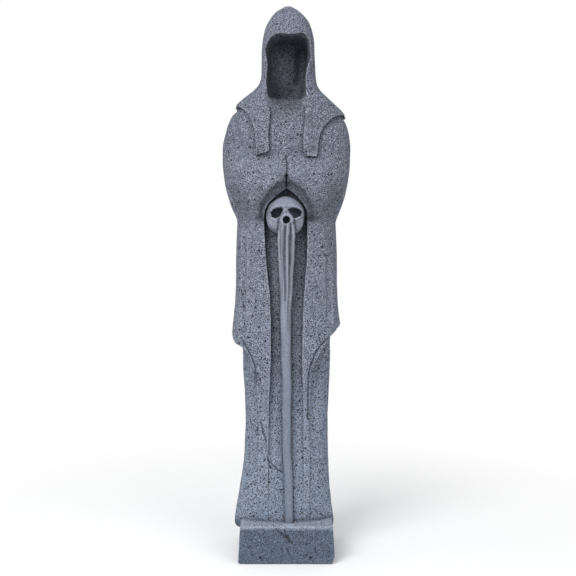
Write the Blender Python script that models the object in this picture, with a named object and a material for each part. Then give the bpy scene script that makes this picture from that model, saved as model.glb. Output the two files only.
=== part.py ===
"""Grim reaper: a hooded figure with an empty hood, carved with its plinth from one block of pitted stone.

Metres, +Z up, and the front faces -Y. The origin is the middle of the underside.
"""

import math

import bmesh
import bpy

# Driving sizes, in metres
FIGURE_HEIGHT = 0.934
PLINTH_WIDTH = 0.173
PLINTH_DEPTH = 0.142
PLINTH_HEIGHT = 0.066
PLINTH_DRAFT = 0.004
PLINTH_EDGE = 0.0015
PLINTH_FOOT_BEVEL = 0.003
CORNER_CHIP_WIDTH = 0.007
CORNER_CHIP_HEIGHT = 0.013
PIN_HOLE_DIAMETER = 0.004
PIN_HOLE_SPACING = 0.089
PIN_HOLE_OFFSET = -0.0018
PIN_HOLE_HEIGHT = 0.012
PIN_HOLE_DEPTH = 0.012
LEFT_HEM_GAP = 0.0020
LEFT_HEM_LIP = 0.0125
RIGHT_HEM_GAP = 0.0015
RIGHT_HEM_LIP = 0.0045

# The carving is laid out in parts, 934 to the figure's height above the plinth. Heights count from SUNK
# parts below the plinth's top, where the figure runs down into it. X counts from the middle, with left and
# right as the viewer sees them, and -Y is towards the viewer.
PART = FIGURE_HEIGHT / 934
SUNK = 2
SIDE_LINE = 5
FAR = 140
HEM_SEAT = 0.6

# Depths of the carving, in parts from the middle, negative towards the viewer
COAT_FLOOR = -20
MOUTH_RIM, CUFF_ROOT, MOUTH_START = -76, -54, -62
SLIT_RIM, SLIT_ROOT = -80, -46
FRONT_HEM_END = 25
HOOD_RIM, HOOD_THROAT, HOOD_WALL = -70, -34, 12
CHANNEL_START, CHANNEL_ROOT = -22, 24
SOCKET_RIM, SOCKET_ROOT = -74, -44
NOSE_RIM, NOSE_ROOT = -76, -52
GOWN_CLEAR = 8

# Mesh steps, in parts, and points around a section
BODY_POINTS = 40
SLEEVE_STEP = 13
COAT_STEP = 45
STAFF_STEP = 40
STAFF_COLUMNS = 14
FOLD_STEPS = 8
FOLD_POINTS = 16
NOSE_POINTS = 14
HOOD_STEP = 13
SKULL_POINTS = 26

# Colour of the dry stone
STONE_COLOUR = (0.19, 0.20, 0.24, 1.0)
STONE_ROUGHNESS = 0.9

# Each row of a form: height, left, right, front, back, and how square its section is (2 is an ellipse)
SLEEVE_ROWS = [
    (547, -90.4, 90.0, -57, 55, 2.6),
    (552, -92.0, 92.2, -64, 55, 2.5),
    (560, -95.4, 96.0, -67, 56, 2.4),
    (580, -103.7, 103.7, -71, 57, 2.3),
    (613, -113.0, 111.8, -72, 59, 2.3),
    (632, -115.6, 114.6, -67, 63, 2.3),
    (645, -116.8, 116.2, -57, 64, 2.4),
    (658, -117.2, 116.8, -50, 65, 2.5),
    (680, -117.0, 117.2, -47, 66, 2.6),
    (702, -112.4, 114.6, -47, 66, 2.6),
    (724, -106.4, 108.6, -46, 65, 2.6),
    (736, -100.2, 101.0, -46, 62, 2.6),
    (747, -89.0, 91.0, -45, 57, 2.6),
    (760, -70.0, 73.0, -44, 53, 2.6),
    (772, -44.0, 48.0, -42, 46, 2.6),
]
COAT_ROWS = [
    (547, -90.4, 90.0, -57, 55, 2.6),
    (480, -93.0, 93.0, -57, 57, 2.7),
    (436, -92.8, 92.6, -57, 60, 2.8),
    (391, -95.2, 94.8, -57, 67, 2.9),
    (352, -99.8, 100.0, -56.5, 70, 2.9),
    (325, -101.0, 99.0, -56, 71, 3.0),
    (290, -95.0, 94.0, -54, 70, 3.0),
    (250, -84.0, 84.0, -51.5, 64, 3.0),
    (200, -79.0, 79.5, -47.4, 56, 3.0),
    (120, -79.5, 79.0, -42.6, 50, 2.8),
    (60, -86.0, 81.0, -39.2, 48, 2.5),
    (-6, -94.0, 86.0, -37.2, 48, 2.3),
]
# The gown: height, share of the left and right flare, front, back, squareness
GOWN_WAIST = (-75.6, 76.2)
GOWN_ROWS = [
    (645, 0.0, 0.0, -33, 40, 2.8),
    (560, 0.0, 0.0, -34, 44, 2.8),
    (480, 0.0, 0.0, -36, 48, 2.8),
    (400, 0.1, 0.1, -40, 54, 2.9),
    (340, 0.24, 0.35, -39, 61, 3.0),
    (280, 0.22, 0.33, -39, 61, 3.0),
    (236, 0.08, 0.18, -39, 58, 3.0),
    (190, 0.0, 0.0, -39, 55, 3.0),
    (147, 0.06, 0.04, -38.8, 53, 2.9),
    (102, 0.19, 0.14, -38.2, 52, 2.7),
    (58, 0.51, 0.31, -37.4, 52, 2.5),
    (14, 0.88, 0.75, -36.6, 53, 2.3),
    (-7, 1.0, 1.0, -36, 54, 2.2),
    (-13, 0.98, 0.96, -34, 52, 2.2),
    (-17, 0.86, 0.84, -30, 48, 2.2),
]
COWL_ROWS = [
    (645, -121, 120, -59, 74, 2.5),
    (665, -122, 121, -57, 74, 2.5),
    (690, -121, 121, -54, 72, 2.6),
    (720, -114, 115, -52, 71, 2.6),
    (735, -108, 109, -51.5, 69, 2.6),
    (747, -99, 100, -51, 67, 2.6),
    (758, -90.5, 88, -50.5, 64, 2.6),
    (769, -77.5, 75.5, -50, 61, 2.6),
    (780, -62, 64, -49.5, 57, 2.7),
    (791, -50.8, 56.2, -49, 55, 2.8),
    (803, -46.2, 53.6, -49, 54, 2.9),
    (825, -45.2, 52.2, -49.5, 53, 2.9),
    (850, -45.4, 51.2, -49, 51, 2.8),
    (872, -44.0, 50.6, -45.5, 48, 2.6),
    (891, -40.2, 47.0, -38.5, 43, 2.4),
    (903, -35.7, 42.8, -32, 37.5, 2.2),
    (914, -29.5, 36.5, -24.5, 31, 2.1),
    (924, -21.5, 27.5, -16, 24, 2.0),
    (931, -12.0, 18.0, -8, 17, 2.0),
    (935, -4.0, 10.0, -2, 10, 2.0),
]
SKULL_SIDE_LINE = -46
SKULL_ROWS = [
    (588.5, -7, 3, -51, -38, 2.0),
    (585, -17, 13, -58, -30, 2.0),
    (578, -26.5, 22.5, -65, -26, 2.0),
    (568, -33.5, 29.5, -69, -24, 2.1),
    (557, -36.3, 32.2, -70, -24, 2.2),
    (546, -35.8, 31.6, -68, -24, 2.4),
    (537, -33.6, 29.2, -67, -24, 2.5),
    (530, -29.6, 25.8, -65, -24, 2.4),
    (523.5, -20.5, 20.0, -60, -26, 2.2),
    (520.5, -12.0, 12.0, -54, -30, 2.0),
]
# Strands and staff: height, left, right, front, and how deep the two furrows are
STAFF_ROWS = [
    (571, -3.6, 0.4, -66, 0.0),
    (564, -5.4, 2.4, -71, 0.0),
    (557, -9.6, 7.8, -72.5, 0.0),
    (550, -12.6, 12.0, -73.6, 0.6),
    (542, -13.4, 13.8, -74, 2.6),
    (530, -13.8, 15.4, -73, 4.6),
    (513, -15.6, 15.3, -71, 5.0),
    (480, -14.8, 13.8, -68, 4.5),
    (440, -12.8, 11.0, -65, 3.0),
    (405, -11.2, 9.0, -62, 1.3),
    (350, -9.6, 8.8, -59.5, 0.3),
    (226, -8.0, 7.8, -56, 0.0),
    (120, -5.6, 9.4, -51.5, 0.0),
    (14, -3.6, 11.6, -46, 0.0),
    (-6, -3.4, 11.6, -45.5, 0.0),
]
STAFF_ROOT = -20
STAFF_ROUNDING = 7
FURROWS = (-0.2, 0.44)
FURROW_WIDTH = 0.13


def clear_scene():
    for item in list(bpy.data.objects):
        bpy.data.objects.remove(item)


def power(value, exponent):
    return math.copysign(abs(value) ** exponent, value)


def eased_rows(rows, step):
    """Rows on a smooth curve through the given ones, about a step apart in height, that never overshoots."""
    heights = [row[0] for row in rows]
    spans = [b - a for a, b in zip(heights, heights[1:])]
    tangents = []
    for index in range(len(rows)):
        tangent = []
        for column in range(1, len(rows[0])):
            slopes = []
            for span in (index - 1, index):
                if 0 <= span < len(spans):
                    slopes.append((rows[span + 1][column] - rows[span][column]) / spans[span])
            product = slopes[0] * slopes[-1]
            tangent.append(2 * product / (slopes[0] + slopes[-1]) if product > 0 else 0.0)
        tangents.append(tangent)
    result = []
    for index, span in enumerate(spans):
        pieces = max(1, round(abs(span) / step))
        for piece in range(pieces):
            t = piece / pieces
            row = [heights[index] + span * t]
            for column in range(1, len(rows[0])):
                start, end = rows[index][column], rows[index + 1][column]
                leave, arrive = tangents[index][column - 1] * span, tangents[index + 1][column - 1] * span
                row.append(
                    start * (2 * t**3 - 3 * t**2 + 1)
                    + leave * (t**3 - 2 * t**2 + t)
                    + end * (3 * t**2 - 2 * t**3)
                    + arrive * (t**3 - t**2)
                )
            result.append(tuple(row))
    result.append(tuple(rows[-1]))
    return result


def section(row, count, side_line):
    """Points around one row, from the viewer's right, round by the back. It is widest at the side line."""
    height, left, right, front, back, squareness = row
    points = []
    for index in range(count):
        angle = 2 * math.pi * index / count
        across = power(math.cos(angle), 2 / squareness)
        deep = power(math.sin(angle), 2 / squareness)
        reach = back - side_line if deep > 0 else side_line - front
        points.append(((left + right) / 2 + across * (right - left) / 2, side_line + deep * reach, height))
    return points


def solid(name, points, faces):
    """A closed triangle mesh, facing out, from points in parts."""
    mesh = bpy.data.meshes.new(name)
    form = bmesh.new()
    corners = [form.verts.new((x * PART, y * PART, PLINTH_HEIGHT + (z - SUNK) * PART)) for x, y, z in points]
    for face in faces:
        form.faces.new([corners[index] for index in face])
    bmesh.ops.triangulate(form, faces=form.faces[:], ngon_method="EAR_CLIP")
    bmesh.ops.recalc_face_normals(form, faces=form.faces[:])
    form.to_mesh(mesh)
    form.free()
    item = bpy.data.objects.new(name, mesh)
    bpy.context.scene.collection.objects.link(item)
    return item


def skin(name, rings):
    """A solid through closed rings of points, with flat ends."""
    count = len(rings[0])
    points = [point for ring in rings for point in ring]
    faces = [list(range(count)), list(range(len(points) - count, len(points)))]
    for ring in range(len(rings) - 1):
        for index in range(count):
            after = (index + 1) % count
            low, high = ring * count, (ring + 1) * count
            faces.append([low + index, low + after, high + after, high + index])
    return solid(name, points, faces)


def body(name, rows, count, side_line=SIDE_LINE):
    return skin(name, [section(row, count, side_line) for row in rows])


def surface(rows, x, height, side):
    """Depth of a form's front (side -1) or back (side 1) at one place."""
    above = [row for row in rows if row[0] >= height][-1]
    below = [row for row in rows if row[0] < height][0]
    share = (height - below[0]) / (above[0] - below[0])
    left, right, front, back, squareness = [low + (high - low) * share for low, high in zip(below[1:], above[1:])]
    across = abs((2 * x - left - right) / (right - left))
    reach = (1 - across**squareness) ** (1 / squareness)
    return SIDE_LINE + reach * ((back if side > 0 else front) - SIDE_LINE)


def fold(rows, side, start, end, width, depth):
    """Cutter for a long shallow fold down a form, between two places given as (x, height)."""
    radius = (width**2 / 4 + depth**2) / (2 * depth)
    ends_clear = 0.4
    route = []
    for step in range(FOLD_STEPS + 1):
        t = step / FOLD_STEPS
        x, height = start[0] + (end[0] - start[0]) * t, start[1] + (end[1] - start[1]) * t
        bite = depth * math.sin(math.pi * t) - ends_clear
        route.append((x, surface(rows, x, height, side) + side * (radius - bite), height))
    return tube("fold", route, [radius] * len(route), FOLD_POINTS)


def shrunk(outline, middle, shares):
    """An outline drawn in towards a middle by a share across and a share in height."""
    (x0, z0), (across, high) = middle, shares
    return [(x0 + (x - x0) * across, z0 + (z - z0) * high) for x, z in outline]


def circle(x, height, radius, count):
    turns = [2 * math.pi * index / count for index in range(count)]
    return [(x + radius * math.cos(turn), height + radius * math.sin(turn)) for turn in turns]


def cutter(name, near_outline, near, far_outline, far):
    """A straight-sided solid between an outline seen from the front at one depth and its like at another."""
    rings = [[(x, depth, z) for x, z in outline] for outline, depth in ((near_outline, near), (far_outline, far))]
    return skin(name, rings)


def curve(points, steps):
    """A smooth line through points, with the given number of steps between each two."""
    ends = [points[0]] + list(points) + [points[-1]]
    result = []
    for before, start, end, after in zip(ends, ends[1:], ends[2:], ends[3:]):
        for step in range(steps):
            t = step / steps
            result.append(
                tuple(
                    0.5 * (2 * b + (c - a) * t + (2 * a - 5 * b + 4 * c - d) * t**2 + (3 * b - a - 3 * c + d) * t**3)
                    for a, b, c, d in zip(before, start, end, after)
                )
            )
    result.append(tuple(points[-1]))
    return result


def tube(name, route, radii, count):
    """A round strand along points, with a radius for each."""
    rings = []
    for index, (x, y, z) in enumerate(route):
        before, after = route[max(index - 1, 0)], route[min(index + 1, len(route) - 1)]
        along_x, along_z = after[0] - before[0], after[2] - before[2]
        length = math.hypot(along_x, along_z)
        ring = []
        for corner in range(count):
            angle = 2 * math.pi * corner / count
            across, deep = radii[index] * math.cos(angle), radii[index] * math.sin(angle)
            ring.append((x + across * along_z / length, y + deep, z - across * along_x / length))
        rings.append(ring)
    return skin(name, rings)


def combine(target, tool, operation):
    """Join the tool to the target or cut it away, then drop the tool.

    The forms are all closed, and the exact solver returns nothing for several of these cuts.
    """
    step = target.modifiers.new(tool.name, "BOOLEAN")
    step.operation = operation
    step.solver = "MANIFOLD"
    step.object = tool
    bpy.context.view_layer.objects.active = target
    bpy.ops.object.modifier_apply(modifier=step.name)
    bpy.data.objects.remove(tool)


def cut(target, *tools):
    for tool in tools:
        combine(target, tool, "DIFFERENCE")


def join(target, *tools):
    for tool in tools:
        combine(target, tool, "UNION")


def make_robe():
    """Sleeves and coat, open down the front, with the coat's hem cut away beside two long front bands."""
    coat = eased_rows(COAT_ROWS, COAT_STEP)
    sleeves = eased_rows(SLEEVE_ROWS, SLEEVE_STEP)
    robe = body("robe", coat[::-1][:-1] + sleeves, BODY_POINTS)
    left_edge = curve([(-33, -12), (-33, 120), (-31, 234), (-28, 300), (-29, 405), (-36, 470), (-39, 520)], 2)
    right_edge = curve([(37, 540), (36.5, 480), (30.5, 405), (28, 300), (30, 234), (31, 120), (31, -12)], 2)
    opening = left_edge + [(-39.5, 556), (37, 556)] + right_edge
    cut(robe, cutter("opening", opening, -FAR, opening, COAT_FLOOR))
    outer_mouth = [(-43, 538), (-50, 552), (-52, 566), (-46, 584), (-24, 606), (-1, 618)]
    outer_mouth += [(19, 609), (37, 594), (45, 579), (44, 562), (38.5, 541)]
    inner_mouth = [(-39.5, 540), (-39.5, 550), (-38.5, 564), (-32, 577), (-16, 592), (0, 603)]
    inner_mouth += [(15, 592), (29, 577), (36, 564), (37, 552), (37, 540)]
    cut(robe, cutter("mouth", outer_mouth, MOUTH_RIM, inner_mouth, CUFF_ROOT))
    cut(robe, cutter("hollow", inner_mouth, MOUTH_START, inner_mouth, COAT_FLOOR))
    slit = [(-2.6, 660), (0.4, 640), (-2.2, 622), (-2.6, 606), (1.8, 606), (1.8, 622), (3.4, 640), (-1.2, 660)]
    slit_root = shrunk(slit, (0.2, 0), (0.3, 1))
    cut(robe, cutter("slit", slit, SLIT_RIM, slit_root, SLIT_ROOT))
    left_hem = curve([(-52, -12), (-51, 120), (-50, 200), (-54, 262), (-62, 292), (-70, 309), (-81, 321)], 2)
    left_hem += [(-91, 325), (-97.5, 333), (-101, 344), (-FAR, 348), (-FAR, -12)]
    right_hem = curve([(42, -12), (42, 120), (43, 220), (46, 276), (54, 300), (65, 318), (78, 339)], 2)
    right_hem += [(86, 346), (92, 352), (97, 357.5), (101, 364), (FAR, 369), (FAR, -12)]
    back_hem = [(-FAR, -12), (-FAR, 350), (-102, 345.5), (-98.5, 335), (-90, 328), (-50, 323), (0, 322), (50, 328)]
    back_hem += [(84, 345), (91, 352.6), (96.5, 358.5), (102, 366), (FAR, 371), (FAR, -12)]
    cut(robe, cutter("left_hem", left_hem, -FAR, left_hem, FRONT_HEM_END))
    cut(robe, cutter("right_hem", right_hem, -FAR, right_hem, FRONT_HEM_END))
    cut(robe, cutter("back_hem", back_hem, 0, back_hem, FAR))
    cut(robe, fold(coat, -1, (-80, 535), (-83, 348), 15, 3.0), fold(coat, -1, (78, 485), (82, 356), 15, 3.0))
    cut(robe, fold(coat, 1, (-34, 540), (-42, 330), 20, 3.0), fold(coat, 1, (30, 540), (44, 330), 20, 3.0))
    return robe


def make_gown():
    """The under-robe, whose hem hangs past both sides of the plinth with a gap beside it."""
    top_half = (PLINTH_WIDTH / 2 - PLINTH_DRAFT) / PART
    gaps = (LEFT_HEM_GAP / PART, RIGHT_HEM_GAP / PART)
    lips = (LEFT_HEM_LIP / PART, RIGHT_HEM_LIP / PART)
    hems = (-(top_half + gaps[0] + lips[0]), top_half + gaps[1] + lips[1])
    rows = []
    for height, left_flare, right_flare, front, back, squareness in GOWN_ROWS:
        left = GOWN_WAIST[0] + (hems[0] - GOWN_WAIST[0]) * left_flare
        right = GOWN_WAIST[1] + (hems[1] - GOWN_WAIST[1]) * right_flare
        rows.append((height, left, right, front, back, squareness))
    gown_rows = eased_rows(rows, COAT_STEP)
    gown = body("gown", gown_rows[::-1], BODY_POINTS)
    cut(gown, fold(gown_rows, 1, (-30, 318), (-38, 8), 20, 3.0), fold(gown_rows, 1, (34, 322), (36, 8), 20, 3.0))
    for side, gap in ((-1, gaps[0]), (1, gaps[1])):
        inner, outer, low = side * (top_half - GOWN_CLEAR), side * (top_half + gap), GOWN_ROWS[-1][0] - GOWN_CLEAR
        outline = [(inner, low), (outer, low), (outer, SUNK - HEM_SEAT), (inner, SUNK - HEM_SEAT)]
        cut(gown, cutter("hem_gap", outline, -FAR, outline, SIDE_LINE))
    return gown


def make_cowl():
    """Hood and shoulder cape with two long lapels, the right shoulder corner lower than the left."""
    cowl = body("cowl", eased_rows(COWL_ROWS, HOOD_STEP), BODY_POINTS)
    left_cape = curve([(-92, 755), (-74, 741), (-64, 727), (-58, 710), (-55, 688), (-52.5, 660)], 2)
    left_cape += [(-52.5, 600), (-FAR, 600), (-FAR, 755)]
    right_cape = curve([(107, 738), (88, 732), (72, 719), (61, 702), (56, 682), (53.5, 658)], 2)
    right_cape += [(53.5, 600), (FAR, 600), (FAR, 738)]
    chest = curve([(-31, 676), (-32.5, 698), (-30, 718), (-29.5, 735), (-33, 770)], 2)
    chest += curve([(33.6, 770), (33.5, 730), (31, 705), (29.6, 684), (30.5, 668)], 2)
    chest += [(34, 659.5), (53.5, 658.5), (60, 655), (60, 600), (-60, 600), (-60, 655), (-52.5, 661.5), (-30.3, 668)]
    back_cape = [(-92, 753.5), (-86, 726), (-62, 690), (-30, 668), (0, 660), (30, 668), (62, 690), (92, 716), (107, 735)]
    back_cape += [(FAR, 735), (FAR, 600), (-FAR, 600), (-FAR, 753.5)]
    cut(cowl, cutter("left_cape", left_cape, -FAR, left_cape, SIDE_LINE))
    cut(cowl, cutter("right_cape", right_cape, -FAR, right_cape, SIDE_LINE))
    cut(cowl, cutter("chest", chest, -FAR, chest, 0))
    cut(cowl, cutter("back_cape", back_cape, -1, back_cape, FAR))
    return cowl


def make_hood_hollow():
    """The empty space inside the hood, with its back wall set in and a deeper channel down the right."""
    rim = [(-32, 762), (-34.8, 778), (-36.4, 794), (-34.4, 812), (-34.4, 828), (-37.4, 846), (-35, 858)]
    rim += [(-29, 868), (-20, 874.5), (-10, 876), (4, 873.8), (17, 875.5), (27, 877.5), (34, 875)]
    rim += [(39, 867), (42, 857), (44.4, 846), (42.6, 833), (37.5, 819), (34, 801), (34.4, 783), (33.4, 762)]
    rim = curve(rim, 2)
    wall = shrunk(rim, (-7, 802), (0.8, 0.9))
    depths = ((rim, HOOD_RIM), (rim, HOOD_THROAT), (wall, HOOD_WALL))
    hollow = skin("hood_hollow", [[(x, y, z) for x, z in line] for line, y in depths])
    channel = [(-9, 776), (-9, 801), (-6, 825), (-4, 846), (-4, 860), (2, 870), (33, 871), (37, 862)]
    channel += [(38.5, 846), (36.5, 830), (33, 815), (30, 793)]
    root = shrunk(channel, (36, 842), (0.34, 0.7))
    join(hollow, cutter("channel", channel, CHANNEL_START, root, CHANNEL_ROOT))
    return hollow


def make_staff():
    """Strands that fall from the skull's nose and merge into a smooth staff down to the plinth."""
    rings = []
    for height, left, right, front, groove in eased_rows(STAFF_ROWS, STAFF_STEP):
        ring = [(right, STAFF_ROOT, height), (left, STAFF_ROOT, height)]
        for column in range(STAFF_COLUMNS + 1):
            across = 2 * column / STAFF_COLUMNS - 1
            rounding = STAFF_ROUNDING * (1 - (1 - abs(across) ** 3) ** 0.5)
            furrow = sum(math.exp(-(((across - middle) / FURROW_WIDTH) ** 2)) for middle in FURROWS)
            ring.append(((left + right) / 2 + across * (right - left) / 2, front + rounding + groove * furrow, height))
        rings.append(ring)
    return skin("staff", rings)


def make_skull():
    """Skull with two slanting sockets, and the round nose hole through the top of the strands."""
    skull = body("skull", eased_rows(SKULL_ROWS, 6)[::-1], SKULL_POINTS, SKULL_SIDE_LINE)
    left_socket = [(-30.5, 560), (-26, 566), (-17, 569), (-9, 569.5), (-4.5, 566.5), (-7, 557), (-12, 550.5)]
    left_socket += [(-19, 547.5), (-27, 550.5)]
    right_socket = [(1, 565), (7, 569), (15, 569.5), (24, 567), (31, 561.5), (27.5, 552.5), (18, 547.5)]
    right_socket += [(11, 548), (5, 556)]
    for name, socket, middle in (("left_socket", left_socket, -17), ("right_socket", right_socket, 15)):
        root = shrunk(socket, (middle, 558.5), (0.66, 0.66))
        cut(skull, cutter(name, socket, SOCKET_RIM, root, SOCKET_ROOT))
    join(skull, make_staff())
    nose, nose_root = circle(-0.4, 546, 7.6, NOSE_POINTS), circle(-0.4, 547, 5.4, NOSE_POINTS)
    cut(skull, cutter("nose_hole", nose, NOSE_RIM, nose_root, NOSE_ROOT))
    return skull


def make_plinth():
    """A plain block that leans in to its top, with bevelled foot, a chipped corner and two pin holes."""
    form = bmesh.new()
    bmesh.ops.create_cube(form, size=1)
    for corner in form.verts:
        high = corner.co.z > 0
        draft = PLINTH_DRAFT if high else 0
        corner.co.x = math.copysign(PLINTH_WIDTH / 2 - draft, corner.co.x)
        corner.co.y = math.copysign(PLINTH_DEPTH / 2 - draft, corner.co.y)
        corner.co.z = PLINTH_HEIGHT if high else 0
    upper = [edge for edge in form.edges if any(corner.co.z > 0 for corner in edge.verts)]
    bmesh.ops.bevel(form, geom=upper, offset=PLINTH_EDGE, segments=1, affect="EDGES")
    foot = [edge for edge in form.edges if all(abs(corner.co.z) < 1e-6 for corner in edge.verts)]
    bmesh.ops.bevel(form, geom=foot, offset=PLINTH_FOOT_BEVEL, segments=1, affect="EDGES")
    mesh = bpy.data.meshes.new("plinth")
    form.to_mesh(mesh)
    form.free()
    plinth = bpy.data.objects.new("plinth", mesh)
    bpy.context.scene.collection.objects.link(plinth)
    for side in (-1, 1):
        bpy.ops.mesh.primitive_cylinder_add(
            vertices=16,
            radius=PIN_HOLE_DIAMETER / 2,
            depth=2 * PIN_HOLE_DEPTH,
            location=(PIN_HOLE_OFFSET + side * PIN_HOLE_SPACING / 2, -PLINTH_DEPTH / 2, PIN_HOLE_HEIGHT),
            rotation=(math.pi / 2, 0, 0),
        )
        cut(plinth, bpy.context.object)
    half, base = PLINTH_WIDTH / 2 / PART, SUNK - PLINTH_HEIGHT / PART
    outside, chip_top = half + 4, base + CORNER_CHIP_HEIGHT / PART
    chip = [(half - CORNER_CHIP_WIDTH / PART, base - 1), (outside, base - 1), (outside, chip_top + 7)]
    chip += [(half - 0.5, chip_top)]
    cut(plinth, cutter("corner_chip", chip, -FAR, chip, FAR))
    return plinth


def stone():
    material = bpy.data.materials.new("pitted_stone")
    material.use_nodes = True
    shader = material.node_tree.nodes["Principled BSDF"]
    shader.inputs["Base Color"].default_value = STONE_COLOUR
    shader.inputs["Roughness"].default_value = STONE_ROUGHNESS
    shader.inputs["Metallic"].default_value = 0.0
    return material


def make_statue():
    statue = make_robe()
    join(statue, make_gown(), make_cowl())
    cut(statue, make_hood_hollow())
    join(statue, make_skull(), make_plinth())
    statue.name = "reaper_statue"
    statue.data.name = "reaper_statue"
    statue.data.materials.clear()
    statue.data.materials.append(stone())
    return statue


clear_scene()
make_statue()
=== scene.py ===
# %% [markdown]
# # A grim reaper carved from one block of pitted stone
# The real work is a garden statue about a metre tall, cut from a single block of grey volcanic stone. The
# solids give its outline, drapery and hood. This lesson gives it the surface of real stone: worn edges,
# pores, hair cracks, undercut hems, and a skull and staff that were rubbed smoother than the rest.

# %% Load the solids
import math

import bpy
import numpy as np
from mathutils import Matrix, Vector, bvhtree, kdtree


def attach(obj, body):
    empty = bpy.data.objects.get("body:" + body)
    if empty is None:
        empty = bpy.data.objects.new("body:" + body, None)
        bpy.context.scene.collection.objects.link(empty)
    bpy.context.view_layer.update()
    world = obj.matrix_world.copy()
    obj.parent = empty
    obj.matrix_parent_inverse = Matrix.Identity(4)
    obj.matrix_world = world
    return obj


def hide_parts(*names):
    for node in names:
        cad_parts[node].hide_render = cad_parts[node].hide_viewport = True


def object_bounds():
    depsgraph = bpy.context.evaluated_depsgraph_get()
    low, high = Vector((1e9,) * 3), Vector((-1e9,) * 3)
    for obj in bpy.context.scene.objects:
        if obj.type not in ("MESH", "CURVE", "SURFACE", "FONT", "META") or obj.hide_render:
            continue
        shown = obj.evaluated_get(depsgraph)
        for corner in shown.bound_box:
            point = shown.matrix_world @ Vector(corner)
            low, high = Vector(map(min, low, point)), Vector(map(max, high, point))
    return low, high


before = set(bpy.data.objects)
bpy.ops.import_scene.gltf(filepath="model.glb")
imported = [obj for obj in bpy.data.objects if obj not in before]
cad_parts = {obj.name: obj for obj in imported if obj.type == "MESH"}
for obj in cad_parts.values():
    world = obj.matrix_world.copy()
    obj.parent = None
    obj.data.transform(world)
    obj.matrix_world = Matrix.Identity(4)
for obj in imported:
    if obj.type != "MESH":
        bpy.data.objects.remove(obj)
solid_box = [list(corner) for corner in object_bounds()]
MM = 0.001
print("solids, low and high corner:", solid_box)

# %% [markdown]
# The plinth's top shows as a narrow strip and the hood is seen from the front, so the camera stands about a
# metre and a half away, a little above the figure's middle, and looks down by two degrees.

# %% Camera
PHOTO_SIDE = 576
PHOTO_MIDDLE = 286.5
CAMERA_DISTANCE = 1.478
CAMERA_HEIGHT = 0.5475
LOOK_DOWN = math.radians(2.29)
SENSOR_MM = 36
LENS_MM = 50.3

camera_place = (0, -CAMERA_DISTANCE, CAMERA_HEIGHT)
bpy.ops.object.camera_add(location=camera_place, rotation=(math.pi / 2 - LOOK_DOWN, 0, 0))
camera = bpy.context.object
camera.data.sensor_width = SENSOR_MM
camera.data.lens = LENS_MM
camera.data.shift_x = (PHOTO_SIDE / 2 - PHOTO_MIDDLE) / PHOTO_SIDE
bpy.context.scene.camera = camera
print("camera at", [round(side, 3) for side in camera.location], "lens, mm:", round(camera.data.lens, 1))

# %% [markdown]
# ## The block
# A mason's block keeps its crisp hems and lapels, while the cloth between them is rounded by the chisel and
# the rasp. The solids are made of flat facets, so the lesson starts from a copy, remeshes it into small even
# squares, and smooths only what lies away from a carved edge. A sculptor in Blender would do the same with a
# smooth brush, and a vertex group does it for the whole figure at once.

# %% Copy the solid and merge its loose triangles
SAME_PLACE = 0.01 * MM


def only(item):
    bpy.ops.object.select_all(action="DESELECT")
    item.select_set(True)
    bpy.context.view_layer.objects.active = item


statue = bpy.data.objects.new("carved_reaper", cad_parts["reaper_statue"].data.copy())
bpy.context.scene.collection.objects.link(statue)
only(statue)
bpy.ops.object.mode_set(mode="EDIT")
bpy.ops.mesh.select_all(action="SELECT")
bpy.ops.mesh.remove_doubles(threshold=SAME_PLACE)
bpy.ops.object.mode_set(mode="OBJECT")
print("points in the solid:", len(statue.data.vertices))

# %% [markdown]
# The points of the whole figure are worked on at once, as arrays. Places on the carving are in millimetres,
# and heights count up from the foot of the gown. Nearly every border on worn stone is soft, so two helpers
# make soft ones: the first rises evenly between two values, and the second falls off round a line.

# %% Helpers for many points
FOOT = 64 * MM


def read_points(mesh, kind="co"):
    flat = np.empty(len(mesh.vertices) * 3)
    mesh.vertices.foreach_get(kind, flat)
    return flat.reshape(-1, 3)


def write_points(mesh, points):
    mesh.vertices.foreach_set("co", points.ravel())
    mesh.update()


def in_parts(points):
    return points[:, 0] / MM, points[:, 1] / MM, (points[:, 2] - FOOT) / MM


def fade(values, start, end):
    """0 at the start and before it, and 1 from the end on. The end may be the lower one."""
    return np.clip((values - start) / (end - start), 0, 1)


def falloff(distances, width):
    """1 at no distance, about a third at the width, and almost nothing at twice the width."""
    return np.exp(-((distances / width) ** 2))


def tree_of(points):
    tree = kdtree.KDTree(len(points))
    for index, point in enumerate(points):
        tree.insert(point, index)
    tree.balance()
    return tree


def distances_to(tree, points):
    return np.array([tree.find(point)[2] for point in points])


# %% [markdown]
# Two kinds of edge matter. At an outer edge, such as a hem's rim, the stone stands proud. At an inner edge,
# such as the foot of a hem, two surfaces meet in a corner. An edge is an inner one where the second face's
# middle lies in front of the first face. Some places are left out, because the stone runs softly there: the
# lower lip of the hood, the walls deep inside it, the rolled cuffs round the skull, the foot of the slit
# between the sleeves, the seam where they rest on the coat's sides, and the foot of the right hem.

# %% Points along the outer and inner edges
EDGE_ANGLE = math.radians(32)
EDGE_STEP = 1.5 * MM
MOUTH_MIDDLE = 556
MOUTH_HALF_WIDTH = 39
MOUTH_HALF_HEIGHT = 60


def runs_softly(point):
    """True at the places named above, which are given in millimetres."""
    x, y, z = point.x / MM, point.y / MM, (point.z - FOOT) / MM
    across = abs(x)
    hood_lip = across < 36 and 750 < z < 780
    in_hood = across < 46 and 750 < z < 890 and y > -22
    sleeve_seam = across > 57 and 530 < z < 562
    round_mouth = (across / MOUTH_HALF_WIDTH) ** 2 + ((z - MOUTH_MIDDLE) / MOUTH_HALF_HEIGHT) ** 2
    cuff = round_mouth > 1 and across < 58 and 554 < z < 634
    slit = across < 6 and 612 < z < 652
    hem_foot = 34 < x < 62 and 150 < z < 294
    return hood_lip or in_hood or sleeve_seam or cuff or slit or hem_foot


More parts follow.
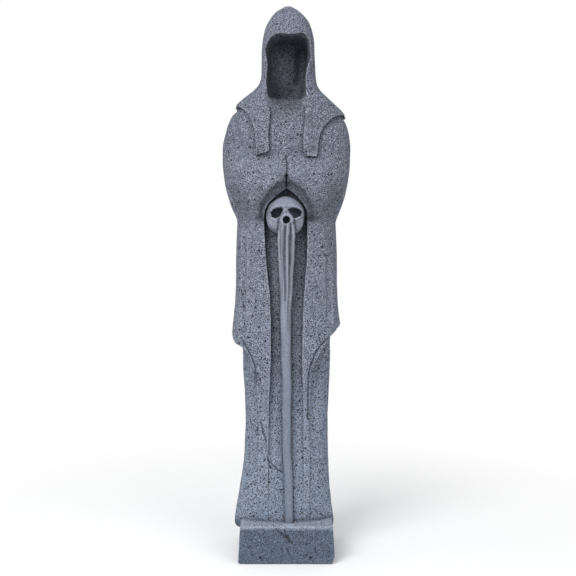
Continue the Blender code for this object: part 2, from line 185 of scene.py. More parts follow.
def carved_edges(mesh):
    """Points along the sharp outer edges and along the sharp inner ones."""
    sides = {}
    for face in mesh.polygons:
        for key in face.edge_keys:
            sides.setdefault(key, []).append(face)
    outer, inner = [], []
    for (start, end), faces in sides.items():
        if len(faces) != 2 or faces[0].normal.angle(faces[1].normal, 0) < EDGE_ANGLE:
            continue
        low, high = mesh.vertices[start].co, mesh.vertices[end].co
        is_inner = (faces[1].center - faces[0].center).dot(faces[0].normal) > 0
        steps = max(1, round((high - low).length / EDGE_STEP))
        points = [low.lerp(high, step / steps) for step in range(steps + 1)]
        (inner if is_inner else outer).extend(point for point in points if not runs_softly(point))
    return outer, inner


outer_points, inner_points = carved_edges(statue.data)
edge_tree = tree_of(outer_points + inner_points)
outer_tree = tree_of(outer_points)
inner_tree = tree_of(inner_points)
print("points along outer and inner edges:", len(outer_points), len(inner_points))

# %% Remesh into even squares
SQUARE = 1.05 * MM
statue.data.remesh_voxel_size = SQUARE
statue.data.remesh_voxel_adaptivity = 0
bpy.ops.object.voxel_remesh()
print("points after the remesh:", len(statue.data.vertices))

# %% [markdown]
# The skull, its strands and the staff stand proud of the robe, and hands have rubbed them smooth and a little
# lighter. Every point gets a number for it, from 0 on the robe to 1 on the staff. It comes from the point's
# own place, so nothing has to be painted by hand. A row for the staff gives a height, the left and right
# side there, and how far back the staff reaches. The skull is taken as an egg shape.

# %% Which points are rubbed
STAFF = [
    (575, -14, 12, -44), (542, -16, 16, -56), (513, -17.5, 17.5, -54), (480, -16.5, 15.5, -52),
    (440, -14.5, 12.5, -49), (405, -13, 10.6, -47), (350, -11, 10.2, -45), (226, -9.5, 9.2, -42),
    (120, -7, 10.8, -40), (0, -5, 13, -38),
]
STAFF_BORDER = 1.5
SKULL_MIDDLE = (-2, -46, 556)
SKULL_REACH = (38, 27, 37)
SKULL_BORDER = 0.12


def rubbed_share(points):
    """1 on the skull, strands and staff, and 0 elsewhere, with a soft border."""
    x, y, z = in_parts(points)
    rows = np.array(STAFF[::-1])
    left, right, back = [np.interp(z, rows[:, 0], rows[:, column]) for column in (1, 2, 3)]
    inside = np.minimum(np.minimum(x - left, right - x), back - y)
    staff = fade(inside, 0, STAFF_BORDER) * (z > 1) * (z < STAFF[0][0])
    axes = zip((x, y, z), SKULL_MIDDLE, SKULL_REACH)
    skull = sum(((at - middle) / reach) ** 2 for at, middle, reach in axes)
    return np.maximum(staff, fade(skull, 1 + SKULL_BORDER, 1))


# %% [markdown]
# The smoothing is held back near an edge: nothing within 1.5 mm of it moves, and from 9 mm away all does. The
# skull and strands get a tenth of it, which takes their facets off but keeps the furrows. The hood's lower
# lip is rubbed much further, until the chest rolls over into the hollow. A last, single pass wears every
# edge by a fraction of a millimetre, as weather does.

# %% Smooth the cloth and wear the edges
HELD = 1.5 * MM
FREE = 9 * MM
SPARED_ON_SKULL = 0.9
LEVELS = 20
CLOTH_ROUNDS = 130
LIP_ROUNDS = 320
WEAR_ROUNDS = 1


def finish_modifier(item, name):
    only(item)
    bpy.ops.object.modifier_apply(modifier=name)


def group_by_share(item, name, shares):
    """A vertex group whose weights are the given shares, in steps."""
    group = item.vertex_groups.new(name=name)
    levels = np.round(np.clip(shares, 0, 1) * LEVELS).astype(int)
    for level in range(LEVELS + 1):
        group.add(np.nonzero(levels == level)[0].tolist(), level / LEVELS, "REPLACE")


def smooth(item, name, rounds, group=""):
    """Rubs the item down with a Smooth modifier, where the vertex group lets it."""
    modifier = item.modifiers.new(name, "SMOOTH")
    modifier.factor = 0.5
    modifier.iterations = rounds
    modifier.vertex_group = group
    finish_modifier(item, name)


points = read_points(statue.data)
edge_distance = distances_to(edge_tree, points)
cloth = fade(edge_distance, HELD, FREE) * (1 - SPARED_ON_SKULL * rubbed_share(points))
group_by_share(statue, "cloth", cloth)
smooth(statue, "rasp", CLOTH_ROUNDS, "cloth")

x, y, z = in_parts(read_points(statue.data))
lip = fade(abs(x), 34, 28) * fade(z, 738, 750) * fade(z, 800, 786) * (y < 10)
hollow = fade(abs(x), 44, 40) * fade(y, -34, -22) * (z > 750) * (z < 890) * (y < 34)
group_by_share(statue, "lip", np.maximum(lip, hollow))
smooth(statue, "lip", LIP_ROUNDS, "lip")
smooth(statue, "wear", WEAR_ROUNDS)
print("size after smoothing:", [round(side, 4) for side in statue.dimensions])

# %% [markdown]
# ## Tool marks
# No chiselled surface is quite even. A clouds texture on a Displace modifier, with humps about 25 mm across
# and half a millimetre high, gives the slow unevenness that a hand leaves.

# %% Uneven dressing
HUMP_SIZE = 25 * MM
HUMP_STRENGTH = 1.3 * MM
dressing = bpy.data.textures.new("dressing", "CLOUDS")
dressing.noise_scale = HUMP_SIZE
dressing.noise_depth = 2
hand = statue.modifiers.new("hand", "DISPLACE")
hand.texture = dressing
hand.texture_coords = "LOCAL"
hand.strength = HUMP_STRENGTH
hand.mid_level = 0.5
finish_modifier(statue, "hand")

# %% [markdown]
# A carver undercuts the foot of a hem with the corner of a flat chisel, so that it throws a dark line. The
# same line runs round the skull, the staff and the foot of the gown. Each point near an inner edge is pushed
# in, most of all on the edge itself. The gown's lower folds are shallow and the mouth of the sleeves is dark
# already, so they get only a third of it. The plinth's foot gets none.

# %% Undercut the hems
UNDERCUT = 1.7 * MM
UNDERCUT_WIDTH = 1.5 * MM
ABOVE_GROUND = 12 * MM
points = read_points(statue.data)
normals = read_points(statue.data, "normal")
inner_distance = distances_to(inner_tree, points)


def hem_share(points):
    """1 under crisp hems, and a third on the gown's soft lower folds and in the mouth round the skull."""
    x, y, z = in_parts(points)
    folds = (z > 8) & (z < 250) & (abs(x) > 18)
    mouth = (z > 535) & (z < 625) & (abs(x) < 50)
    return 1 - 0.7 * (folds | mouth)


undercut = UNDERCUT * falloff(inner_distance, UNDERCUT_WIDTH) * hem_share(points)
undercut *= points[:, 2] > ABOVE_GROUND
points -= normals * undercut[:, None]

# %% [markdown]
# ## Carved lines
# The skull's brow, cheekbones and nose ring, the furrows between the strands, and the cracks are lines on the
# front of the figure. Each is a list of places in millimetres, X from the middle and Z up from the foot of
# the gown, and one function pushes the surface in or out near such a line, as a crease brush does.

# %% A crease brush
FAR = 1.0


def line_distance(points, line):
    """Distance in the front view from each point to a line of (x, z) places in millimetres."""
    flat = points[:, [0, 2]] - np.array([0, FOOT])
    best = np.full(len(flat), FAR)
    for start, end in zip(line, line[1:]):
        a, b = np.array(start) * MM, np.array(end) * MM
        along = np.clip((flat - a) @ (b - a) / ((b - a) @ (b - a)), 0, 1)
        best = np.minimum(best, np.linalg.norm(flat - a - along[:, None] * (b - a), axis=1))
    return best


def crease(points, normals, line, push, width, reach, tail=0):
    """Pushes the front near a line out, or in where push is negative. It works as far back as reach, and a
    tail makes it fade over that height at the line's foot. All are in millimetres."""
    x, y, z = in_parts(points)
    xs, zs = [place[0] for place in line], [place[1] for place in line]
    near = (x > min(xs) - 3 * width) & (x < max(xs) + 3 * width) & (y < reach)
    near &= (z > min(zs) - 3 * width) & (z < max(zs) + 3 * width) & (normals[:, 1] < -0.15)
    where = np.nonzero(near)[0]
    share = falloff(line_distance(points[where], line), width * MM)
    if tail:
        share *= fade(z[where], min(zs), min(zs) + tail)
    points[where] += normals[where] * (share * push * MM)[:, None]


# %% [markdown]
# On the skull the lines raise the brow, the cheekbones and the ring and open the sockets. Below it they part
# the strands, and fade where the strands run together into the staff. Each row is a line, its push and its
# width.

# %% Lines of the skull and the strands
SKULL_LINES = [
    ([(-28, 562.5), (-24.1, 567.5), (-18, 570.5), (-10.5, 572), (-2, 570.5)], 2.2, 2.2),
    ([(-2, 570.5), (3, 570), (10.7, 571.8), (19.4, 569.8), (26.4, 565.4), (29.6, 559)], 2.2, 2.2),
    ([(-2.3, 568), (-2.6, 557)], 2.2, 2.0),
    ([(-26.5, 549.5), (-21.2, 546), (-15.9, 544.5)], 1.8, 2.0),
    ([(15.1, 546.6), (20.4, 549), (28, 554.5)], 1.8, 2.0),
    ([(-14.6, 546), (-14.8, 537), (-15.4, 529)], -2.2, 1.4),
    ([(14.8, 546), (15, 538), (16.4, 529)], -1.8, 1.3),
    ([(-29.5, 545), (-27.5, 536), (-22, 530)], 1.0, 2.5),
    ([(27, 545), (26.5, 537), (21, 531)], 1.0, 2.5),
]
RING_MIDDLE = (0.2, 546.2)
RING_RADIUS = 9.4
GROOVE_RADIUS = RING_RADIUS + 4
TURNS = np.linspace(-0.55, math.pi + 0.55, 16)


def ring_line(radius):
    middle_x, middle_z = RING_MIDDLE
    return [(middle_x + radius * math.cos(turn), middle_z + radius * math.sin(turn)) for turn in TURNS]


RING = ring_line(RING_RADIUS)
RING_GROOVE = ring_line(GROOVE_RADIUS)
RING_LINES = [(RING, 2.6, 1.7), (RING_GROOVE, -1.3, 1.2)]
SOCKET_LINES = [
    ([(-24, 556), (-14, 551), (-8, 556)], -2.2, 2.2),
    ([(-17, 564.5), (-8, 565.5)], -1.6, 1.8),
    ([(22, 556), (15, 551.5), (8, 557)], -2.2, 2.2),
    ([(16, 565), (5, 564.5)], -1.6, 1.8),
]
STRAND_LINES = [
    (
        [(-10.2, 536), (-11.2, 526), (-10.2, 512), (-10.6, 492), (-8.4, 466), (-8.2, 430), (-6.4, 385)],
        -1.4, 1.0,
    ),
    ([(-1.0, 534), (-2.9, 524), (-3.0, 510), (-3.8, 490), (-2.2, 458), (-2.9, 420), (-2.0, 360)], -1.5, 1.1),
    ([(7.4, 542), (7.6, 526), (6.9, 512), (7.1, 490), (5.4, 458), (5.4, 424), (4.2, 365)], -2.0, 1.2),
    ([(12.6, 530), (13.6, 519), (12.0, 508), (13.0, 497), (11.0, 484), (11.8, 470), (9.6, 445)], 1.1, 1.5),
    ([(-13.8, 528), (-14.4, 508), (-12.4, 474), (-11.4, 425)], 0.8, 1.4),
    ([(2.4, 534), (1.8, 508), (2.0, 465), (1.0, 410)], 0.7, 1.5),
    ([(-6.2, 528), (-7.3, 505), (-5.8, 478), (-6.4, 440), (-5.0, 400)], -0.8, 0.8),
    ([(4.3, 520), (3.4, 496), (4.4, 470), (3.0, 430)], -0.8, 0.8),
    ([(10.0, 520), (10.4, 500), (9.2, 476), (8.8, 440)], -0.9, 0.8),
]
STRANDS_FOOT = 380
STRAND_FADE = 110
print("lines on the head of the staff:", len(SKULL_LINES + RING_LINES + SOCKET_LINES + STRAND_LINES))

# %% [markdown]
# On the cloth, wide soft lines roll the cuffs inwards, hollow the sleeves' underside and sink the fold over
# the forearms, and narrow ones cut the coat's side seams and the two lower hems. The cracks run down the
# plinth's front and across the gown to the left of the staff, and the pits are cracks a millimetre long.

# %% Lines of the cloth and the cracks
SLIT = [(-1.5, 656), (0.9, 648), (1.3, 640), (0.2, 626), (-0.4, 610)]
CUFFS = [
    [(-3, 613), (-17, 604), (-32, 588), (-41, 568), (-43, 550)],
    [(3, 613), (17, 604), (32, 588), (41, 568), (43, 550)],
]
UNDER_ARMS = [
    [(-100, 590), (-84, 566), (-62, 556), (-46, 566)],
    [(96, 590), (82, 566), (62, 556), (46, 566)],
]
HEM_LINES = [
    [(-79, 334), (-69, 316), (-61, 300), (-56, 284), (-53.4, 258)],
    [(76, 338), (60.5, 324), (50, 307), (42, 286), (39.3, 262), (38.2, 192)],
]
CLOTH_LINES = [(line, -3.2, 7.0) for line in CUFFS] + [(line, -4.5, 17.0) for line in UNDER_ARMS]
CLOTH_LINES += [
    ([(-66, 674), (-42, 665), (-4, 661), (36, 665), (62, 674)], -3.6, 7.0),
    ([(-83.5, 505), (-84, 430), (-85, 345)], -1.3, 1.8),
    ([(80, 505), (80.5, 430), (81, 368)], -1.3, 1.8),
]
CLOTH_LINES += [(line, -2.2, 1.5) for line in HEM_LINES]
CRACKS = [
    [(-47, 186), (-44, 176), (-42.5, 166), (-38.5, 158), (-36.5, 149.5)],
    [(-34.7, 122), (-33, 114), (-27, 108), (-21, 103), (-15, 97), (-7.6, 92)],
    [(-3.9, -3), (-1.5, -10), (0.5, -18), (3.4, -21), (5, -25)],
    [(1, -13), (4.5, -18), (7, -23), (10.9, -27)],
    [(1, -36), (2.5, -41), (6, -47)],
    [(-19, -1), (-11, -8), (-4, -14), (3.3, -17)],
]
PITS = [(50, 281), (53.5, 285.5), (56, 281), (52, 276.5), (58.5, 285), (48, 275), (56, 274)]
PITS += [(-33, 12), (-30, 8)]
CRACKS += [[(x, z), (x + 0.8, z + 0.6)] for x, z in PITS]
PIN_HOLES = [[(-46.8, -52), (-45.8, -52)], [(42.2, -52), (43.2, -52)]]
print("lines on the cloth, cracks and pits:", len(CLOTH_LINES), len(CRACKS))

# %% [markdown]
# Each set of lines works only as far back as the form it belongs to, so a line on the skull leaves the gown
# behind it alone. No carver keeps a long staff quite straight, and a slow waver of a millimetre stands for
# that. The cracks come last, because they cut through everything.

# %% Carve the lines
WAVER = 0.9 * MM
WAVER_TOP = 500
WAVER_FADE = 60
CARVING = [
    (SKULL_LINES + RING_LINES, -52, 0),
    (SOCKET_LINES, -50, 0),
    (STRAND_LINES, -50, STRAND_FADE),
    (CLOTH_LINES, -20, 0),
    ([(SLIT, -2.8, 1.1)], -44, 0),
]
for lines, reach, tail in CARVING:
    for line, push, width in lines:
        crease(points, normals, line, push, width, reach, tail)
x, y, z = in_parts(points)
waver = np.sin(z / 31) + 0.6 * np.sin(z / 13 + 1)
points[:, 0] += WAVER * waver * rubbed_share(points) * fade(z, WAVER_TOP, WAVER_TOP - WAVER_FADE)
for line in CRACKS:
    crease(points, normals, line, push=-1.6, width=1.0, reach=-30)
write_points(statue.data, points)

# %% [markdown]
# ## Pores
# Gas bubbles left round holes all through the lava, and cutting it opened them. The larger ones, 3 to 6 mm
# across, are real dents in the mesh. The smaller ones are left to the material, because a dent needs several
# points across it. A seeded generator picks the places, so the stone is the same at every run. None is put
# on rubbed stone or close to a hem, where it would break the edge away.

# %% Press in the larger pores
PORES = 5600
SMALLEST_RADIUS = 1.5
RADIUS_SPREAD = 1.4
SHALLOWEST, DEEPEST = 0.5, 0.8
CLEAR_OF_EDGE = 3.5 * MM
CLEAR_OF_GROUND = 3 * MM
MOST_RUBBED = 0.2
pore_random = np.random.default_rng(41)
normals = read_points(statue.data, "normal")
rubbed = rubbed_share(points)
point_tree = tree_of(points)
dents = np.zeros(len(points))
pores, pore_sizes = [], []


def keep_in_box(points):
    """Holds the points within the solids' box, so the dressed figure is as large as the solids."""
    return np.clip(points, solid_box[0], solid_box[1])


for pick in pore_random.integers(0, len(points), PORES):
    radius = (SMALLEST_RADIUS + RADIUS_SPREAD * pore_random.random() ** 3) * MM
    depth = radius * pore_random.uniform(SHALLOWEST, DEEPEST)
    in_the_way = edge_distance[pick] < CLEAR_OF_EDGE or points[pick][2] < CLEAR_OF_GROUND
    if rubbed[pick] > MOST_RUBBED or in_the_way:
        continue
    pores.append(points[pick].copy())
    pore_sizes.append(radius)
    for place, index, distance in point_tree.find_range(points[pick], radius):
        dents[index] = max(dents[index], depth * (1 - (distance / radius) ** 2))
points = keep_in_box(points - normals * dents[:, None])
write_points(statue.data, points)
print("pores:", len(pores))

# %% [markdown]
# The fine mesh has far more points than its flat parts need. Decimate merges those and keeps the pores, the
# furrows and the hems, which brings the figure under 200,000 triangles. A vertex group keeps it off the
# skull, the strands and the cracks, whose forms are the smallest.

# %% Thin the mesh
MOST_TRIANGLES = 192000
SPARED = 0.9
CRACK_WIDTH = 1.3 * MM
SLIT_WIDTH = 1.7 * MM
PIN_HOLE_WIDTH = 3.0 * MM
FRONT = -20 * MM


def near_lines(points, lines, width):
    """1 on the front's lines and 0 beyond a width."""
    shares = sum(falloff(line_distance(points, line), width) for line in lines)
    return (points[:, 1] < FRONT) * np.clip(shares, 0, 1)


def crack_share(points):
    """1 in the cracks, the two hems' grooves, the slit and the pin holes."""
    cracks = near_lines(points, CRACKS + HEM_LINES, CRACK_WIDTH)
    slit = near_lines(points, [SLIT], SLIT_WIDTH)
    return np.maximum(cracks, np.maximum(slit, near_lines(points, PIN_HOLES, PIN_HOLE_WIDTH)))


def triangles_in(mesh):
    return sum(len(face.vertices) - 2 for face in mesh.polygons)


x, y, z = in_parts(points)
fine_forms = np.clip(rubbed * 1.5, 0, 1) * (z > STRANDS_FOOT)
kept = np.maximum(fine_forms, np.clip(crack_share(points) * 4, 0, 1))
group_by_share(statue, "thin_here", 1 - kept * SPARED)
count = triangles_in(statue.data)
thin = statue.modifiers.new("thin", "DECIMATE")
thin.ratio = MOST_TRIANGLES / count
thin.vertex_group = "thin_here"
finish_modifier(statue, "thin")
write_points(statue.data, keep_in_box(read_points(statue.data)))
bpy.ops.object.shade_smooth()
statue.vertex_groups.clear()
print("triangles:", count, "thinned to", triangles_in(statue.data))

# %% [markdown]
# ## Marks of age and painted shade
# Shade is painted into the deep hollows: inside the hood, in the eye sockets and along the hems. To find
# them, each point looks out in many directions, and the share that other stone blocks is kept for it.

# %% Look out from every point
LOOKS = 44
LOOK_FAR = 110 * MM
STEP_OFF = 1.0 * MM


def spiral_directions(count):
    """Directions spread evenly over a ball, on a golden spiral."""
    heights = 1 - 2 * (np.arange(count) + 0.5) / count
    turns = np.arange(count) * math.pi * (3 - math.sqrt(5))
    around = np.sqrt(1 - heights**2)
    return np.stack([around * np.cos(turns), around * np.sin(turns), heights], axis=1)


def blocked_share(points, normals):
    """Share of the view from each point that the stone itself blocks nearby."""
    form = bvhtree.BVHTree.FromObject(statue, bpy.context.evaluated_depsgraph_get())
    starts = [Vector(place) for place in points + normals * STEP_OFF]
    blocked, seen = np.zeros(len(points)), np.zeros(len(points))
    for direction in spiral_directions(LOOKS):
        facing = normals @ direction
        look = Vector(direction)
        for index in np.nonzero(facing > 0.1)[0]:
            seen[index] += facing[index]
            if form.ray_cast(starts[index], look, LOOK_FAR)[0] is not None:
                blocked[index] += facing[index]
    return blocked / np.maximum(seen, 0.01)


points = read_points(statue.data)
normals = read_points(statue.data, "normal")
occluded = blocked_share(points, normals)
print("most sheltered point:", round(float(occluded.max()), 2))

# %% [markdown]
# Painted shade goes into the corners under the hems, the cracks, the furrows between the strands, the inside
# of the hood, the chest under its lower lip, the underside of the sleeves and the pores. Edges that stand
# proud are rubbed paler, the ridges of the skull and strands get a painted highlight, and the plinth's top
# gets painted light. All of these are numbers on the points, which the material reads by name.

# %% Store the marks on the points
RIDGES = [line for line, push, width in SKULL_LINES + STRAND_LINES if push > 0] + [RING]
FURROWS = [line for line, push, width in SKULL_LINES + STRAND_LINES if push < 0] + [RING_GROOVE]
WORN_WIDTH = 2.2 * MM
RIDGE_WIDTH = 1.7 * MM
CORNER_WIDTH = 2.4 * MM
FURROW_WIDTH = 1.2 * MM
FURROW_SHADE = 0.55
LEDGE = FOOT + 4 * MM
PORE_EDGE = 1.3


def store(name, values):
    attribute = statue.data.attributes.new(name, "FLOAT", "POINT")
    attribute.data.foreach_set("value", np.asarray(values, np.float32))
    print(name, "mean share:", round(float(np.mean(values)), 3))


x, y, z = in_parts(points)
rubbed = rubbed_share(points)
strand_share = rubbed * fade(z, STRANDS_FOOT, STRANDS_FOOT + STRAND_FADE)
# Painted shade: the material darkens the stone by this share of blocked view.
store("occluded", occluded)
store("rubbed", rubbed)

# Worn edges are paler, and the ridges of the skull and strands get a painted highlight in the same share.
wear_and_highlight = falloff(distances_to(outer_tree, points), WORN_WIDTH)
wear_and_highlight *= 1 - near_lines(points, CUFFS, 12 * MM) * (1 - rubbed)
store("wear_and_highlight", np.maximum(wear_and_highlight, near_lines(points, RIDGES, RIDGE_WIDTH) * strand_share))
# Painted shade along the inner edges, cracks, hem grooves, slit, pin holes and furrows.
store("corner", falloff(distances_to(inner_tree, points), CORNER_WIDTH) * hem_share(points))
furrows = near_lines(points, FURROWS, FURROW_WIDTH) * strand_share
store("crack", np.maximum(crack_share(points), FURROW_SHADE * furrows))

# Painted shade inside the hood and on the chest under its lower lip.
store("in_hood", fade(abs(x), 48, 42) * fade(z, 735, 780) * (z < 895))
store("hood_lip", fade(abs(x), 31, 25) * fade(z, 724, 760) * (z < 800) * (y < 0))
# Painted shade under the sleeves and in the cuffs.
shade_under_arms = near_lines(points, UNDER_ARMS, 22 * MM) * 0.6 + near_lines(points, CUFFS, 9 * MM) * 1.1
store("shade_under_arms", shade_under_arms * (1 - rubbed) * (y < 0))
# Painted light: the upward faces of the plinth's top are paler.
store("plinth_top_light", fade(normals[:, 2], 0.45, 0.85) * (points[:, 2] < LEDGE))

pore_tree = tree_of(pores)
pore_shares = []
for point in points:
    place, pore, distance = pore_tree.find(point)
    pore_shares.append(min(max(PORE_EDGE - distance / pore_sizes[pore], 0), 1))
store("pore", pore_shares)

# %% [markdown]
# ## The stone
# This is vesicular basalt, a lava stone: grey with a blue cast, quite matt, full of dark pores, with paler
# mineral flecks and a fine grain. Its colours are hex values as a picture program shows them, and one
# function turns them to the linear values that Blender works in. One more function adds a node.

# %% Colours and nodes
COLOURS = {
    "upper dark": "#727A8A", "upper light": "#7B8394", "lower dark": "#8495AA", "lower light": "#8E9FB3",
    "violet": "#888594", "rubbed low": "#74808E", "rubbed high": "#858C99", "wear_and_highlight": "#A9B0BD",
    "plinth top light": "#B4C0CF", "shoulders": "#606574", "plinth_side_shade": "#4E5D72", "grain dark": "#A4A4A4",
    "grain light": "#FFFFFF", "fleck": "#C9CED8", "rim": "#C4CBD9", "hole": "#2E323B",
    "occlusion_shade": "#26272C", "hood_shade": "#26272D", "shade under arms": "#3C404A", "groove_shade": "#2A2D35",
    "paper": "#FAFAFA",
}


def stone_colour(code):
    parts = [int(code[place : place + 2], 16) / 255 for place in (1, 3, 5)]
    return [part / 12.92 if part <= 0.04045 else ((part + 0.055) / 1.055) ** 2.4 for part in parts] + [1.0]


shades = {name: stone_colour(code) for name, code in COLOURS.items()}


def per_metre(size_mm):
    return 1 / (size_mm * MM)


def add(tree, kind, settings=None, **links):
    """Adds a node. Settings go on the node, and links go to its sockets, by name or, as _0, by number."""
    node = tree.nodes.new(kind)
    for name, value in (settings or {}).items():
        setattr(node, name, value)
    for name, value in links.items():
        socket = node.inputs[int(name[1:])] if name[1:].isdigit() else node.inputs[name.replace("_", " ")]
        if isinstance(value, bpy.types.NodeSocket):
            tree.links.new(value, socket)
        else:
            socket.default_value = value
    return node


# %% [markdown]
# Pattern sizes are real ones. A texture's scale is how often it repeats in a metre, so a 5 mm spacing is a
# scale of 1 / 0.005. The helpers below each add one node, or two, and hand on its output.

# %% Helpers for the material
basalt = bpy.data.materials.new("vesicular_basalt")
basalt.use_nodes = True
tree = basalt.node_tree
shader = tree.nodes["Principled BSDF"]
place = add(tree, "ShaderNodeTexCoord").outputs["Object"]


def share_of(name):
    return add(tree, "ShaderNodeAttribute", {"attribute_name": name}).outputs["Fac"]


def ramp(value, low, high, start=0.0, end=1.0):
    """A value turned from low..high into start..end, smoothly, and held at both ends."""
    settings = {"interpolation_type": "SMOOTHSTEP"}
    return add(tree, "ShaderNodeMapRange", settings, _0=value, _1=low, _2=high, _3=start, _4=end).outputs[0]


def mix(share, first, second, kind="MIX"):
    settings = {"data_type": "RGBA", "blend_type": kind}
    return add(tree, "ShaderNodeMix", settings, _0=share, _6=first, _7=second).outputs[2]


def maths(kind, first, second):
    return add(tree, "ShaderNodeMath", {"operation": kind}, _0=first, _1=second).outputs[0]


def times(first, second):
    return maths("MULTIPLY", first, second)


def tint(colour, share, strength, name):
    """Lays a named colour over the one so far, as far as the share and the strength say."""
    return mix(times(share, strength), colour, shades[name])


def noise(size_mm, detail=2.0, roughness=0.5):
    links = {"Vector": place, "Scale": per_metre(size_mm), "Detail": detail, "Roughness": roughness}
    return add(tree, "ShaderNodeTexNoise", None, **links).outputs["Fac"]


def cells(spacing_mm):
    links = {"Vector": place, "Scale": per_metre(spacing_mm)}
    return add(tree, "ShaderNodeTexVoronoi", None, **links).outputs["Distance"]


# %% [markdown]
# The stone is bluer at the foot and greyer above, in clouds some 45 mm wide, with violet patches of 16 mm.
# The shoulders and the hood are darker, and painted shade darkens the plinth's faces below its top. Rubbed
# stone, worn edges with a painted highlight on the ridges of the skull and strands, and painted light on the
# plinth's top are laid over that, and the grain of 2 mm last.

# %% Vesicular basalt
height = add(tree, "ShaderNodeSeparateXYZ", None, Vector=place).outputs["Z"]
clouds = ramp(noise(45, 3.0, 0.6), 0.35, 0.65)
violet = ramp(noise(16), 0.44, 0.62, 0.0, 0.25)
grain = noise(2.4, 3.0, 0.7)
rubbed = share_of("rubbed")
rough = ramp(rubbed, 0.0, 1.0, 1.0, 0.3)

upper = mix(clouds, shades["upper dark"], shades["upper light"])
lower = mix(clouds, shades["lower dark"], shades["lower light"])
colour = mix(ramp(height, 0.06, 0.6), lower, upper)
colour = mix(violet, colour, shades["violet"])
rubbed_colour = mix(ramp(height, 0.12, 0.56), shades["rubbed low"], shades["rubbed high"])
colour = mix(times(rubbed, 0.85), colour, rubbed_colour)
# Worn edges are paler, and the ridges of the skull and strands get a painted highlight.
colour = tint(colour, share_of("wear_and_highlight"), 0.35, "wear_and_highlight")
# Painted light on the plinth's top.
colour = tint(colour, share_of("plinth_top_light"), 0.6, "plinth top light")
colour = mix(ramp(height, 0.64, 0.82, 0.0, 0.5), colour, shades["shoulders"])
# Painted shade on the plinth's faces below its top.
plinth_side_shade = times(ramp(height, 0.058, 0.066, 0.85, 0.0), ramp(share_of("plinth_top_light"), 0.0, 0.6, 1.0, 0.0))
colour = mix(plinth_side_shade, colour, shades["plinth_side_shade"])
grain_colour = mix(ramp(grain, 0.3, 0.7), shades["grain dark"], shades["grain light"])
colour = mix(rough, colour, mix(1.0, colour, grain_colour, "MULTIPLY"))

# %% [markdown]
# The small pores are up to 2.5 mm across and 3.4 mm apart, the larger ones 4 mm across and 15 mm apart, and
# the flecks 2 mm across and 5 mm apart. A cut through a round bubble shows a smaller ring, so one pattern
# gives pores of many sizes. They thin out where the stone is denser, which a slow noise decides, and few are
# left where it is rubbed. Every pore, the pressed-in ones too, gets painted shade, as the inside of a hole
# has.
# Their broken rims catch the light, so a paler ring of painted highlight lies round each. The plinth's faces
# show fewer flecks and weaker rims.

# %% Pores and flecks
PORE_SPACING = 3.4
COARSE_SPACING = 15
FLECK_SPACING = 5


def above_plinth(start):
    """The start value on the plinth, and 1 above it."""
    return ramp(height, 0.058, 0.07, start, 1.0)


density = ramp(noise(70), 0.35, 0.6, 0.93, 1.04)
flecks = times(ramp(cells(FLECK_SPACING), 0.12, 0.22, 0.55, 0.0), rough)
colour = mix(times(flecks, above_plinth(0.3)), colour, shades["fleck"])
bubbles = maths("DIVIDE", cells(PORE_SPACING), density)
# Painted highlight: a paler ring round each pore.
rims = times(ramp(bubbles, 0.4, 0.46, 0.0, 0.42), ramp(bubbles, 0.48, 0.6, 1.0, 0.0))
colour = mix(times(times(rims, above_plinth(0.4)), rough), colour, shades["rim"])
fine = ramp(bubbles, 0.31, 0.41, 1.0, 0.0)
coarse = ramp(cells(COARSE_SPACING), 0.12, 0.15, 1.0, 0.0)
holes = times(times(maths("MAXIMUM", fine, coarse), rough), above_plinth(0.8))
holes = times(holes, ramp(share_of("wear_and_highlight"), 0.2, 0.9, 1.0, 0.45))
holes = maths("MAXIMUM", holes, times(share_of("pore"), 0.5))
# Painted shade in the pores.
colour = mix(holes, colour, shades["hole"])

# %% [markdown]
# The stored marks come last. Occluded stone gets painted shade, most of all inside the hood and under the
# sleeves, and the corners and cracks get more painted shade. The grain and the holes also drive the bump, and
# rubbed stone shines a little more.

# %% Painted shade and relief
BUMP_DISTANCE = 0.9 * MM
occluded = share_of("occluded")
# Painted shade where the stone blocks the view, less on rubbed stone.
occlusion_shade = times(ramp(occluded, 0.5, 0.95, 0.0, 0.74), ramp(rubbed, 0.0, 1.0, 1.0, 0.8))
colour = mix(occlusion_shade, colour, shades["occlusion_shade"])
# Painted shade inside the hood and under its lower lip.
hood_shade = times(share_of("in_hood"), ramp(occluded, 0.28, 0.55, 0.0, 0.62))
hood_shade = maths("MAXIMUM", hood_shade, times(share_of("hood_lip"), 0.7))
colour = mix(hood_shade, colour, shades["hood_shade"])
# Painted shade under the sleeves and in the cuffs.
colour = tint(colour, share_of("shade_under_arms"), 0.5, "shade under arms")
# Painted shade in the corners, cracks, grooves, slit and pin holes.
groove_shade = maths("MAXIMUM", times(share_of("corner"), 0.5), times(share_of("crack"), 0.85))
colour = mix(groove_shade, colour, shades["groove_shade"])
tree.links.new(colour, shader.inputs["Base Color"])

shader.inputs["Specular IOR Level"].default_value = 0.35
tree.links.new(ramp(rubbed, 0.0, 1.0, 0.93, 0.76), shader.inputs["Roughness"])
relief = maths("SUBTRACT", times(times(grain, rough), 0.5), holes)
bump = add(tree, "ShaderNodeBump", None, Strength=0.6, Distance=BUMP_DISTANCE, Height=relief)
tree.links.new(bump.outputs["Normal"], shader.inputs["Normal"])
print("nodes in the stone:", len(tree.nodes))

statue.data.materials.clear()
statue.data.materials.append(basalt)
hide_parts("reaper_statue")
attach(statue, "root")

# %% [markdown]
# ## The studio
# The picture was taken on white, in soft even light from above and a little from the left. A broad lamp over
# the camera's left shoulder shapes the figure, one overhead whitens the floor and darkens the hollows, a weak
# one fills from the right, and the pale floor fades into a white surround.

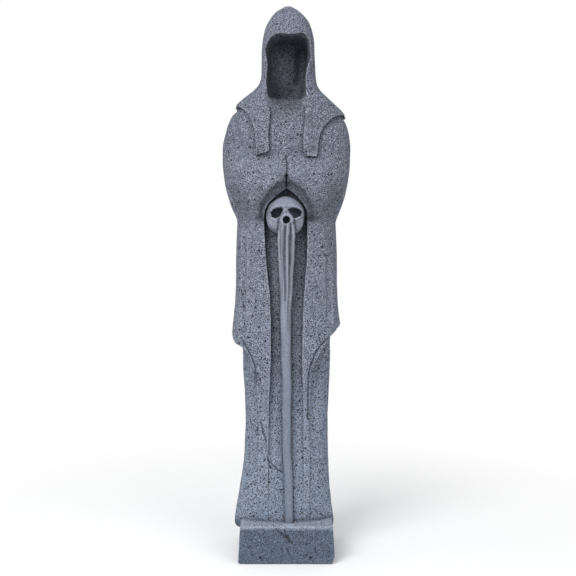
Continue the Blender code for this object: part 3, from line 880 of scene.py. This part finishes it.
# %% Floor
FLOOR_RADIUS = 2.4
FLOOR_SOLID = 0.12
FLOOR_GONE = 1.0
bpy.ops.object.select_all(action="DESELECT")
bpy.ops.mesh.primitive_circle_add(vertices=96, radius=FLOOR_RADIUS, fill_type="NGON", location=(0, 0, 0))
floor = bpy.context.object
floor.name = "studio_floor"
paper = bpy.data.materials.new("white_paper")
paper.use_nodes = True
tree = paper.node_tree
shader = tree.nodes["Principled BSDF"]
shader.inputs["Base Color"].default_value = shades["paper"]
shader.inputs["Roughness"].default_value = 1.0
clear = add(tree, "ShaderNodeBsdfTransparent").outputs[0]
floor_place = add(tree, "ShaderNodeTexCoord").outputs["Object"]
from_middle = add(tree, "ShaderNodeVectorMath", {"operation": "LENGTH"}, _0=floor_place).outputs["Value"]
gone = ramp(from_middle, FLOOR_SOLID, FLOOR_GONE)
edge = add(tree, "ShaderNodeMixShader", None, _0=gone, _1=shader.outputs[0], _2=clear)
tree.links.new(edge.outputs[0], tree.nodes["Material Output"].inputs["Surface"])
floor.data.materials.append(paper)

# %% Lamps and surround
FIGURE_MIDDLE = Vector((0, 0, 0.5))
SURROUND = 0.58


def lamp(name, place, side, watts):
    """A square soft lamp that faces the middle of the figure."""
    turn = (FIGURE_MIDDLE - Vector(place)).to_track_quat("-Z", "Y").to_euler()
    bpy.ops.object.light_add(type="AREA", location=place, rotation=turn)
    bpy.context.object.name = name
    bpy.context.object.data.size = side
    bpy.context.object.data.energy = watts


lamp("key", (-1.1, -1.7, 1.9), side=1.3, watts=43)
lamp("fill", (1.7, -1.9, 1.3), side=1.4, watts=16)
lamp("overhead", (-0.1, -0.8, 2.6), side=1.8, watts=8)
world = bpy.data.worlds.new("surround")
bpy.context.scene.world = world
world.use_nodes = True
tree = world.node_tree
seen = add(tree, "ShaderNodeBackground", None, Color=(1, 1, 1, 1), Strength=1.0).outputs[0]
given = add(tree, "ShaderNodeBackground", None, Color=(0.97, 0.98, 1.0, 1), Strength=SURROUND).outputs[0]
straight = add(tree, "ShaderNodeLightPath").outputs["Is Camera Ray"]
mixed = add(tree, "ShaderNodeMixShader", None, _0=straight, _1=given, _2=seen).outputs[0]
tree.links.new(mixed, tree.nodes["World Output"].inputs["Surface"])
bpy.context.scene.view_settings.view_transform = "Standard"
